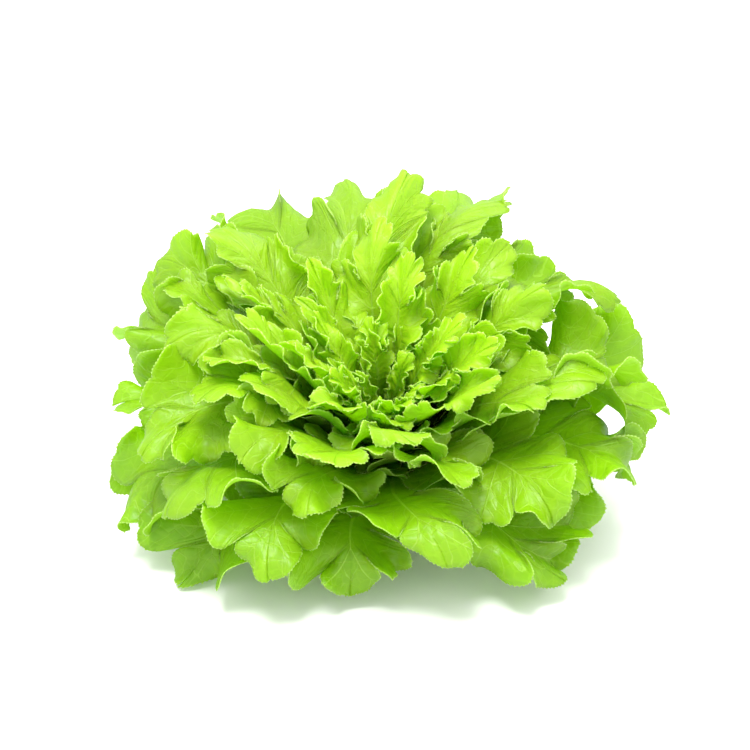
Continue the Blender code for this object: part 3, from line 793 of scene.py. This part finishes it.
def vein_net(tree, place):
    """The net of fine veins, 1 on a vein and 0 in the middle of a cell."""
    cells = add_node(tree, "ShaderNodeTexVoronoi",
        {"feature": "DISTANCE_TO_EDGE", "Scale": 1 / VEIN_NET}, {"Vector": place})
    return add_node(tree, "ShaderNodeMapRange",
        {"interpolation_type": "SMOOTHSTEP", "From Min": 0.09, "From Max": 0.015},
        {"Value": cells.outputs["Distance"]}).outputs[0]


print("side veins every", round(SIDE_VEIN_GAP / MM), "mm")

# %% [markdown]
# ## Greens
#
# The blade is deep green on the outer leaves and lime on the inner ones: partly the young leaves'
# own paler colour, partly painted light that lifts the shade in the packed heart. Soft patches a couple of
# centimetres across break up the green, the veins and the toothed margin are paler, and the stalk fades to
# cream. Each step mixes one more colour over the last.

# %% The colour of the skin
PATCH = 18 * MM
# Paler inner leaves: partly the young leaves' own colour, partly painted light that lifts the shade in the
# packed heart.
YOUNG_TONE_AND_PAINTED_LIGHT = 1.05  # how much lighter the innermost leaves are than the outermost
YOUNG_AND_PAINTED_LIGHT_COLOUR = linear("bee41c")
VEIN_COLOUR = linear("c4e060")
MARGIN_COLOUR = linear("dcea9c")
STALK_COLOUR = linear("d9e8a0")
MARGIN_WIDTH = 0.9 * MM


def blade_tone(tree, place):
    """0 for the deepest green and 1 for the lightest, by patch and by the leaf's layer: the inner leaves are
    lighter, partly as young leaves and partly as painted light in the shaded heart.
    """
    inner = add_node(tree, "ShaderNodeAttribute", {"attribute_name": "inner"})
    patch = add_node(tree, "ShaderNodeTexNoise",
        {"Scale": 1 / PATCH, "Detail": 6.0, "Roughness": 0.75}, {"Vector": place})
    # Inner leaves lighter: partly their young colour, partly painted light that lifts the heart's shade.
    age_and_painted_light = add_node(tree, "ShaderNodeMath", {"operation": "MULTIPLY_ADD", 1: YOUNG_TONE_AND_PAINTED_LIGHT, 2: -0.42},
        {0: inner.outputs["Fac"]})
    return add_node(tree, "ShaderNodeMath", {"operation": "MULTIPLY_ADD", 1: 1.2, "use_clamp": True},
        {0: patch.outputs["Fac"], 2: age_and_painted_light.outputs[0]}).outputs[0]


def skin_colour(tree, place, lines, net, greens):
    """The blade's greens with its veins, margin and stalk laid over them."""
    rim = add_node(tree, "ShaderNodeAttribute", {"attribute_name": "rim"})
    outward = add_node(tree, "ShaderNodeAttribute", {"attribute_name": "outward"})
    inner = add_node(tree, "ShaderNodeAttribute", {"attribute_name": "inner"})
    # The young colour over the inner leaves is partly their own paler colour and partly painted light that lifts
    # the shade of the packed heart.
    young_and_painted_light = add_node(tree, "ShaderNodeMapRange",
        {"interpolation_type": "SMOOTHSTEP", "From Min": 0.5, "From Max": 0.95},
        {"Value": inner.outputs["Fac"]})
    margin = add_node(tree, "ShaderNodeMapRange",
        {"interpolation_type": "SMOOTHSTEP", "From Min": MARGIN_WIDTH, "From Max": 0.2 * MM},
        {"Value": rim.outputs["Fac"]})
    stalk = add_node(tree, "ShaderNodeMapRange",
        {"interpolation_type": "SMOOTHSTEP", "From Min": 0.34, "From Max": 0.10},
        {"Value": outward.outputs["Fac"]})
    colour = add_node(tree, "ShaderNodeMix", {"data_type": "RGBA", 6: greens["deep"], 7: greens["light"]},
        {0: blade_tone(tree, place)})
    layers = ((young_and_painted_light.outputs[0], 0.8, YOUNG_AND_PAINTED_LIGHT_COLOUR), (net, 0.2, greens["pale"]), (lines, 0.65, VEIN_COLOUR),
        (margin.outputs[0], 0.7, MARGIN_COLOUR), (stalk.outputs[0], 0.7, STALK_COLOUR))
    for mask, strength, paint in layers:
        amount = add_node(tree, "ShaderNodeMath", {"operation": "MULTIPLY", 1: strength}, {0: mask})
        colour = add_node(tree, "ShaderNodeMix", {"data_type": "RGBA", 7: paint},
            {0: amount.outputs[0], 6: colour.outputs[2]})
    return colour.outputs[2]


print("patches about", round(PATCH / MM), "mm across")

# %% [markdown]
# ## The relief of the skin
#
# The blade swells a little between its veins, the ribs and veins stand proud, the finest veins are
# sunk, and all of it has a soft grain. None of this is more than half a millimetre tall, so it is
# bump: geometry that fine would cost millions of faces. It breaks the gloss into soft patches.

# %% Bump of a leaf
QUILT = 0.35 * MM  # how far the blade swells between its veins
BLISTER = 9 * MM
RELIEF = 0.5 * MM
GRAIN = 4 * MM


def skin_relief(tree, place, gap, lines, net):
    """The bumped normal of the skin: a broad quilt under fine veins and grain."""
    pillow = add_node(tree, "ShaderNodeMapRange",
        {"interpolation_type": "SMOOTHSTEP", "From Max": 0.5 * SIDE_VEIN_GAP}, {"Value": gap})
    blister = add_node(tree, "ShaderNodeTexNoise", {"Scale": 1 / BLISTER, "Detail": 1.0}, {"Vector": place})
    swell = add_node(tree, "ShaderNodeMath", {"operation": "MULTIPLY_ADD", 1: 6.0},
        {0: blister.outputs["Fac"], 2: pillow.outputs["Result"]})
    quilt = add_node(tree, "ShaderNodeBump", {"Strength": 0.6, "Distance": QUILT},
        {"Height": swell.outputs[0]})
    grain = add_node(tree, "ShaderNodeTexNoise",
        {"Scale": 1 / GRAIN, "Detail": 4.0, "Roughness": 0.6}, {"Vector": place})
    raised = add_node(tree, "ShaderNodeMath", {"operation": "MULTIPLY_ADD", 1: 0.8},
        {0: grain.outputs["Fac"], 2: lines})
    sunk = add_node(tree, "ShaderNodeMath", {"operation": "MULTIPLY_ADD", 1: -0.3},
        {0: net, 2: raised.outputs[0]})
    return add_node(tree, "ShaderNodeBump", {"Strength": 0.5, "Distance": RELIEF},
        {"Height": sunk.outputs[0], "Normal": quilt.outputs[0]}).outputs[0]


print("relief, mm:", RELIEF / MM)

# %% [markdown]
# ## The skin of a leaf
#
# A lettuce leaf is a thin sheet of wet cells under a faint natural wax. More than half of the light
# that enters it goes through and comes out yellow-green on the other side, which is why shaded lobes
# glow. A Principled surface alone looks like painted plastic, so it is mixed with a Translucent one.
# The underside is paler and duller, because its cells are looser and its veins stand out.

# %% Leaf skin
THROUGH_SHARE = 0.6


def leaf_skin(name, greens, roughness):
    """Living leaf: its wax gives a soft sheen, and its wet cells let light through."""
    material, tree = new_material(name)
    place = add_node(tree, "ShaderNodeTexCoord").outputs["Object"]
    gap = side_vein_gap(tree, place)
    lines = vein_lines(tree, gap)
    net = vein_net(tree, place)
    colour = skin_colour(tree, place, lines, net, greens)
    relief = skin_relief(tree, place, gap, lines, net)
    surface = add_node(tree, "ShaderNodeBsdfPrincipled",
        {"Roughness": roughness, "IOR": 1.42, "Specular IOR Level": 0.8},
        {"Base Color": colour, "Normal": relief})
    glow = add_node(tree, "ShaderNodeMix", {"data_type": "RGBA", 0: 0.6, 7: greens["through"]}, {6: colour})
    thin = add_node(tree, "ShaderNodeBsdfTranslucent", None, {"Color": glow.outputs[2], "Normal": relief})
    both = add_node(tree, "ShaderNodeMixShader", {0: THROUGH_SHARE},
        {1: surface.outputs[0], 2: thin.outputs[0]})
    add_node(tree, "ShaderNodeOutputMaterial", None, {"Surface": both.outputs[0]})
    return material


UPPER_GREENS = {
    "deep": linear("7cac00"), "light": linear("a2c420"),
    "pale": linear("b0d030"), "through": linear("c4f014"),
}
UNDER_GREENS = {
    "deep": linear("88b014"), "light": linear("a6c440"),
    "pale": linear("b0cc48"), "through": linear("c4f014"),
}
upper_skin = leaf_skin("waxy_leaf_upper_skin", UPPER_GREENS, 0.4)
under_skin = leaf_skin("dull_leaf_underside", UNDER_GREENS, 0.5)
print("materials:", upper_skin.name, under_skin.name)

# %% [markdown]
# ## Fine rows
#
# The rows of the fine sheet are spaced evenly along the margin, one for each tooth, and its columns
# crowd towards the margin, where the leaf curls most.

# %% Rows spaced along the margin
ROW_SPACING = 1.75 * MM
FINE_STEPS = (0, 4, 8, 12, 15, 18, 20, 22, 24)
PROBE_ROWS = 1500


def fine_rows(leaf):
    """Fractions of the midrib for evenly spaced rows, and each row's distance along the margin."""
    probe = np.linspace(0, 1, PROBE_ROWS)
    points = leaf_points(leaf, probe, (0, BEND_STEPS))
    steps = np.linalg.norm(np.diff(points[:, [0, -1]], axis=0), axis=2).mean(axis=1)
    walked = np.concatenate([[0], np.cumsum(steps)])
    even = np.linspace(0, walked[-1], int(walked[-1] / ROW_SPACING))
    return np.interp(even, walked, probe), even


def row_distances(points):
    """How far each point is from the midrib and from its own margin, along its row."""
    steps = np.linalg.norm(np.diff(points, axis=1), axis=2)
    walked = run(steps)
    centre = points.shape[1] // 2
    from_midrib = np.abs(walked - walked[:, centre : centre + 1])
    on_left = np.arange(points.shape[1]) < centre
    half_width = np.where(on_left, from_midrib[:, :1], from_midrib[:, -1:])
    return from_midrib, half_width - from_midrib


print("rows on the outermost leaf:", len(fine_rows(leaves[0])[0]))

# %% [markdown]
# ## Ruffles, notches and teeth
#
# The margin grows faster than the blade, so it buckles into ruffles: gentle on the outer leaves,
# tight in the heart. The inner margins are also cut into small round lobes. A ruffle moves points
# along the sheet's normal, and a small lobe moves the last columns outward or inward in the sheet.

# %% Ruffle and cut the margin
RUFFLE_HEIGHTS = (1.0 * MM, 2.2 * MM)  # on the outermost leaf and at the growing tip
RUFFLE_LENGTHS = (21 * MM, 9 * MM)
RUFFLE_DEPTH = 5 * MM  # how far from the margin a ruffle dies away
NOTCH_SHARES = (0.05, 0.35)  # of the half width, cut away in a notch
NOTCH_LENGTHS = (30 * MM, 8 * MM)
NOTCH_ROUNDNESS = 0.55


def by_layer(leaf, values, power=1):
    """A value between the outermost leaf's and the growing tip's."""
    return values[0] + (values[1] - values[0]) * leaf.layer**power


def ruffle(leaf, points, along_margin, from_rim, leafy, draw):
    """Buckle both margins into waves that die away towards the midrib."""
    normals = point_normals(points, grid_triangles(points))
    centre = points.shape[1] // 2
    for columns in (slice(0, centre), slice(centre + 1, None)):
        phases = draw.uniform(0, 2 * math.pi, 3)
        slow = np.sin(along_margin / (31 * MM) + phases[1])
        turn = 2 * math.pi * along_margin / by_layer(leaf, RUFFLE_LENGTHS)
        wave = np.sin(turn + phases[0] + 0.9 * slow)
        swell = 0.65 + 0.35 * np.sin(along_margin / (23 * MM) + phases[2])
        size = by_layer(leaf, RUFFLE_HEIGHTS, 2) * wave * swell * leafy
        fade = np.exp(-from_rim[:, columns] / RUFFLE_DEPTH)
        points[:, columns] += (size[:, None] * fade)[..., None] * normals[:, columns]


def cut_margin(leaf, points, along_margin, leafy, draw):
    """Cut both margins back into small round lobes. The sheet itself stays where it is."""
    centre = points.shape[1] // 2
    for columns in (slice(centre, None), slice(centre, None, -1)):
        half = points[:, columns]
        walked = run(np.linalg.norm(np.diff(half, axis=1), axis=2))
        phases = draw.uniform(0, 2 * math.pi, 2)
        slow = np.sin(along_margin / (29 * MM) + phases[1])
        turn = math.pi * along_margin / by_layer(leaf, NOTCH_LENGTHS)
        notch = 1 - np.abs(np.sin(turn + phases[0] + slow)) ** NOTCH_ROUNDNESS
        kept = 1 - by_layer(leaf, NOTCH_SHARES, 2) * notch * leafy
        for row, share in enumerate(kept):
            for axis in range(3):
                half[row, :, axis] = np.interp(share * walked[row], walked[row], half[row, :, axis])


print("small lobes in the heart every", round(NOTCH_LENGTHS[1] / MM), "mm")

# %% [markdown]
# Every margin has fine teeth that point towards the tip of the leaf. A tooth is one more point in the
# middle of each margin edge, pushed outward. Its height varies, because even teeth look stamped.

# %% Teeth
TOOTH_HEIGHT = 0.75 * MM
TOOTH_LEAN = 0.68  # how far along its edge a tooth's point is
TOOTH_HEIGHTS = (0.3, 1.4)


def tooth_points(points, leafy, draw):
    """Points of the teeth, between every two rows of the left and the right margin."""
    teeth = []
    for margin, inside in ((0, 1), (-1, -2)):
        arm = points[:, margin] - points[:, inside]
        outward = arm / np.maximum(np.linalg.norm(arm, axis=1, keepdims=True), 1e-9)
        height = TOOTH_HEIGHT * draw.uniform(*TOOTH_HEIGHTS, len(points) - 1) * leafy[1:]
        edge = points[:-1, margin] + TOOTH_LEAN * (points[1:, margin] - points[:-1, margin])
        teeth.append(edge + height[:, None] * outward[1:])
    return teeth


def add_teeth(bm, across, teeth):
    """Split every margin edge of the grid and move the new point out to its tooth."""
    rim = bm.verts.layers.float["rim"]
    margins = []
    for edge in bm.edges:
        columns = {vertex.index % across for vertex in edge.verts}
        if columns in ({0}, {across - 1}):
            margins.append(edge)
    split = bmesh.ops.subdivide_edges(bm, edges=margins, cuts=1)
    for vertex in split["geom_inner"]:
        if isinstance(vertex, bmesh.types.BMVert):
            ends = [edge.other_vert(vertex).index for edge in vertex.link_edges]
            side = 0 if min(ends) % across == 0 else 1
            vertex.co = teeth[side][min(ends) // across]
            vertex[rim] = 0.0


print("a tooth every", round(ROW_SPACING / MM, 2), "mm")

# %% [markdown]
# ## Distances for the skin
#
# The skin reads these distances from the mesh. A lobe's vein runs along the row in the middle of the
# lobe, and the side veins leave the ribs at a slant.

# %% What the skin reads
TIP_VEIN = 0.42  # of the tip lobe's height, where its own side veins set out
SIDE_VEIN_SLANT = 0.9


def skin_distances(leaf, points, along, from_midrib, from_rim):
    edges = leaf.edges
    veins = np.append(0.5 * (edges[:-1] + edges[1:]), edges[-1] + TIP_VEIN * (1 - edges[-1]))
    row_gap = np.linalg.norm(np.gradient(points, axis=0), axis=2) / np.gradient(along)[:, None]
    from_vein = np.abs(along[:, None] - veins[None, :]).min(axis=1)[:, None] * row_gap
    return {
        "midrib": from_midrib,
        "lobe_vein": from_vein,
        "branch": from_midrib - SIDE_VEIN_SLANT * from_vein,
        "rim": from_rim,
        "outward": np.broadcast_to(along[:, None], from_rim.shape),
        "inner": np.full(from_rim.shape, leaf.layer),
    }


def fine_sheet(leaf, index):
    """Points of the finished leaf, its teeth, and the distances that its skin reads."""
    draw = np.random.default_rng(SEED_STEP + index)
    along, along_margin = fine_rows(leaf)
    points = leaf_points(leaf, along, FINE_STEPS)
    from_midrib, from_rim = row_distances(points)
    from_rim = from_rim + TOOTH_HEIGHT
    leafy = smooth_step((along - leaf.edges[0]) / 0.06)
    ruffle(leaf, points, along_margin, from_rim, leafy, draw)
    cut_margin(leaf, points, along_margin, leafy, draw)
    points[..., 2] = np.maximum(points[..., 2], LOWEST_LEAF)
    teeth = tooth_points(points, leafy, draw)
    return points, teeth, skin_distances(leaf, points, along, from_midrib, from_rim)


print("points in the outermost leaf:", fine_sheet(leaves[0], 0)[0].shape[:2])

# %% [markdown]
# ## Make the leaves
#
# A grid is laid, its vertices are moved onto the sheet row by row, and Solidify gives the blade its
# thickness. A real blade is about half a millimetre thick, thinner than the CAD solid's.

# %% One leaf
SHEET = 0.45 * MM


def sheet_piece(name, points, teeth, distances):
    """A leaf of its own: a grid moved onto the points, with teeth and with the skin's distances."""
    rows, across = points.shape[:2]
    mesh = bpy.data.meshes.new(name)
    bm = bmesh.new()
    bmesh.ops.create_grid(bm, x_segments=across - 1, y_segments=rows - 1, size=0.5)
    bm.to_mesh(mesh)
    mesh.vertices.foreach_set("co", points.reshape(-1).astype(np.float32))
    for key, values in distances.items():
        attribute = mesh.attributes.new(key, "FLOAT", "POINT")
        attribute.data.foreach_set("value", values.reshape(-1).astype(np.float32))
    bm.clear()
    bm.from_mesh(mesh)
    add_teeth(bm, across, teeth)
    bm.to_mesh(mesh)
    bm.free()
    mesh.materials.append(under_skin)
    mesh.materials.append(upper_skin)
    mesh.update()
    mesh.shade_smooth()
    piece = bpy.data.objects.new(name, mesh)
    bpy.context.scene.collection.objects.link(piece)
    solidify = piece.modifiers.new("blade", "SOLIDIFY")
    solidify.thickness = SHEET
    solidify.offset = 0
    solidify.material_offset = 1
    solidify.material_offset_rim = 1
    return piece


print("sheet thickness, mm:", SHEET / MM)

# %% [markdown]
# Every leaf rides on the head's one body. A large leaf stands in for its own CAD solid, and the small
# ones together stand in for the fused heart.

# %% All the leaves
triangles = 0
for index, leaf in enumerate(leaves):
    points, teeth, distances = fine_sheet(leaf, index)
    large = index < LARGE_LEAVES
    piece = sheet_piece(f"{leaf.name}_blade", points, teeth, distances)
    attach(piece, "root")
    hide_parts(leaf.name if large else "heart")
    triangles += (4 * points.shape[1] + 8) * (points.shape[0] - 1)
print("triangles in the leaves, about:", triangles)

# %% [markdown]
# ## The stem
#
# The stem is solid, moist, pale flesh that was cut across with a knife. Its CAD solid already has the
# right shape, so it keeps its mesh and gets a better finish: long fibres, a satin gloss and a faint
# relief.

# %% Stem finish
FIBRE = 2.5 * MM


def stem_flesh():
    material, tree = new_material("lettuce_stem_flesh")
    place = add_node(tree, "ShaderNodeTexCoord")
    fibres = add_node(tree, "ShaderNodeTexNoise", {"Scale": 1 / FIBRE, "Detail": 4.0},
        {"Vector": place.outputs["Object"]})
    colour = add_node(tree, "ShaderNodeMix", {"data_type": "RGBA", 6: linear("c9d39a"), 7: linear("eef0d4")},
        {0: fibres.outputs["Fac"]})
    relief = add_node(tree, "ShaderNodeBump", {"Strength": 0.3, "Distance": 0.4 * MM},
        {"Height": fibres.outputs["Fac"]})
    surface = add_node(tree, "ShaderNodeBsdfPrincipled", {"Roughness": 0.45, "IOR": 1.4},
        {"Base Color": colour.outputs[2], "Normal": relief.outputs[0]})
    add_node(tree, "ShaderNodeOutputMaterial", None, {"Surface": surface.outputs[0]})
    return material


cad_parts["stem"].material_slots[0].material = stem_flesh()
print("stem finish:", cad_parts["stem"].material_slots[0].material.name)

# %% [markdown]
# ## The table
#
# The head rests on a plain white table with a slight polish, which mirrors the lowest leaves faintly.
# The table is stage, not part of the object.

# %% Table
TABLE_SIZE = 6.0


def make_table():
    material, tree = new_material("white_lacquered_table")
    surface = add_node(tree, "ShaderNodeBsdfPrincipled",
        {"Base Color": linear("fafafa"), "Roughness": 0.22, "Specular IOR Level": 0.4})
    add_node(tree, "ShaderNodeOutputMaterial", None, {"Surface": surface.outputs[0]})
    bm = bmesh.new()
    bmesh.ops.create_grid(bm, x_segments=1, y_segments=1, size=0.5 * TABLE_SIZE)
    mesh = bpy.data.meshes.new("table_top")
    bm.to_mesh(mesh)
    bm.free()
    mesh.materials.append(material)
    table = bpy.data.objects.new("table_top", mesh)
    bpy.context.scene.collection.objects.link(table)


make_table()
print("table, m:", TABLE_SIZE)

# %% [markdown]
# ## Light
#
# One broad lamp hangs over the head, a little in front and to the left, and a second one behind it
# shines through the upright leaves. A white room fills the shadows.

# %% Lamps and room
ROOM_LIGHT = 1.75


def soft_lamp(name, place, size, watts):
    """A round lamp that faces the middle of the table."""
    lamp = bpy.data.lights.new(name, "AREA")
    lamp.shape = "DISK"
    lamp.size = size
    lamp.energy = watts
    holder = bpy.data.objects.new(name, lamp)
    holder.location = place
    holder.rotation_euler = Vector(place).to_track_quat("Z", "Y").to_euler()
    bpy.context.scene.collection.objects.link(holder)


def make_room():
    room = bpy.data.worlds.new("white_room")
    room.use_nodes = True
    background = room.node_tree.nodes["Background"]
    background.inputs["Color"].default_value = linear("ffffff")
    background.inputs["Strength"].default_value = ROOM_LIGHT
    bpy.context.scene.world = room


soft_lamp("key_lamp", (-0.15, -0.45, 1.3), 0.6, 27)
soft_lamp("back_lamp", (0.4, 0.9, 1.0), 0.9, 4)
make_room()
bpy.context.scene.view_settings.view_transform = "Standard"
print("lamps:", [item.name for item in bpy.data.lights])

# %% [markdown]
# ## Camera
#
# The photo was taken with a long lens from a little above. The shift puts the head where it stands in
# the photo's frame.

# %% Camera
CAMERA_TARGET = Vector((0, 0, 0.062))
CAMERA_DISTANCE = 0.88
CAMERA_ELEVATION = math.radians(25)
CAMERA_LENS = 86.5
FRAME_PIXELS = 750
HEAD_PIXEL_X = 379  # where the target shows in the photo
HEAD_PIXEL_Y = 382


def make_camera():
    camera = bpy.data.cameras.new("photo_view")
    camera.lens = CAMERA_LENS
    camera.shift_x = -(HEAD_PIXEL_X - FRAME_PIXELS / 2) / FRAME_PIXELS
    camera.shift_y = (HEAD_PIXEL_Y - FRAME_PIXELS / 2) / FRAME_PIXELS
    holder = bpy.data.objects.new("photo_view", camera)
    back = Vector((0, -math.cos(CAMERA_ELEVATION), math.sin(CAMERA_ELEVATION)))
    holder.location = CAMERA_TARGET + back * CAMERA_DISTANCE
    holder.rotation_euler = back.to_track_quat("Z", "Y").to_euler()
    bpy.context.scene.collection.objects.link(holder)
    bpy.context.scene.camera = holder


make_camera()
print("camera elevation, degrees:", round(math.degrees(CAMERA_ELEVATION)))
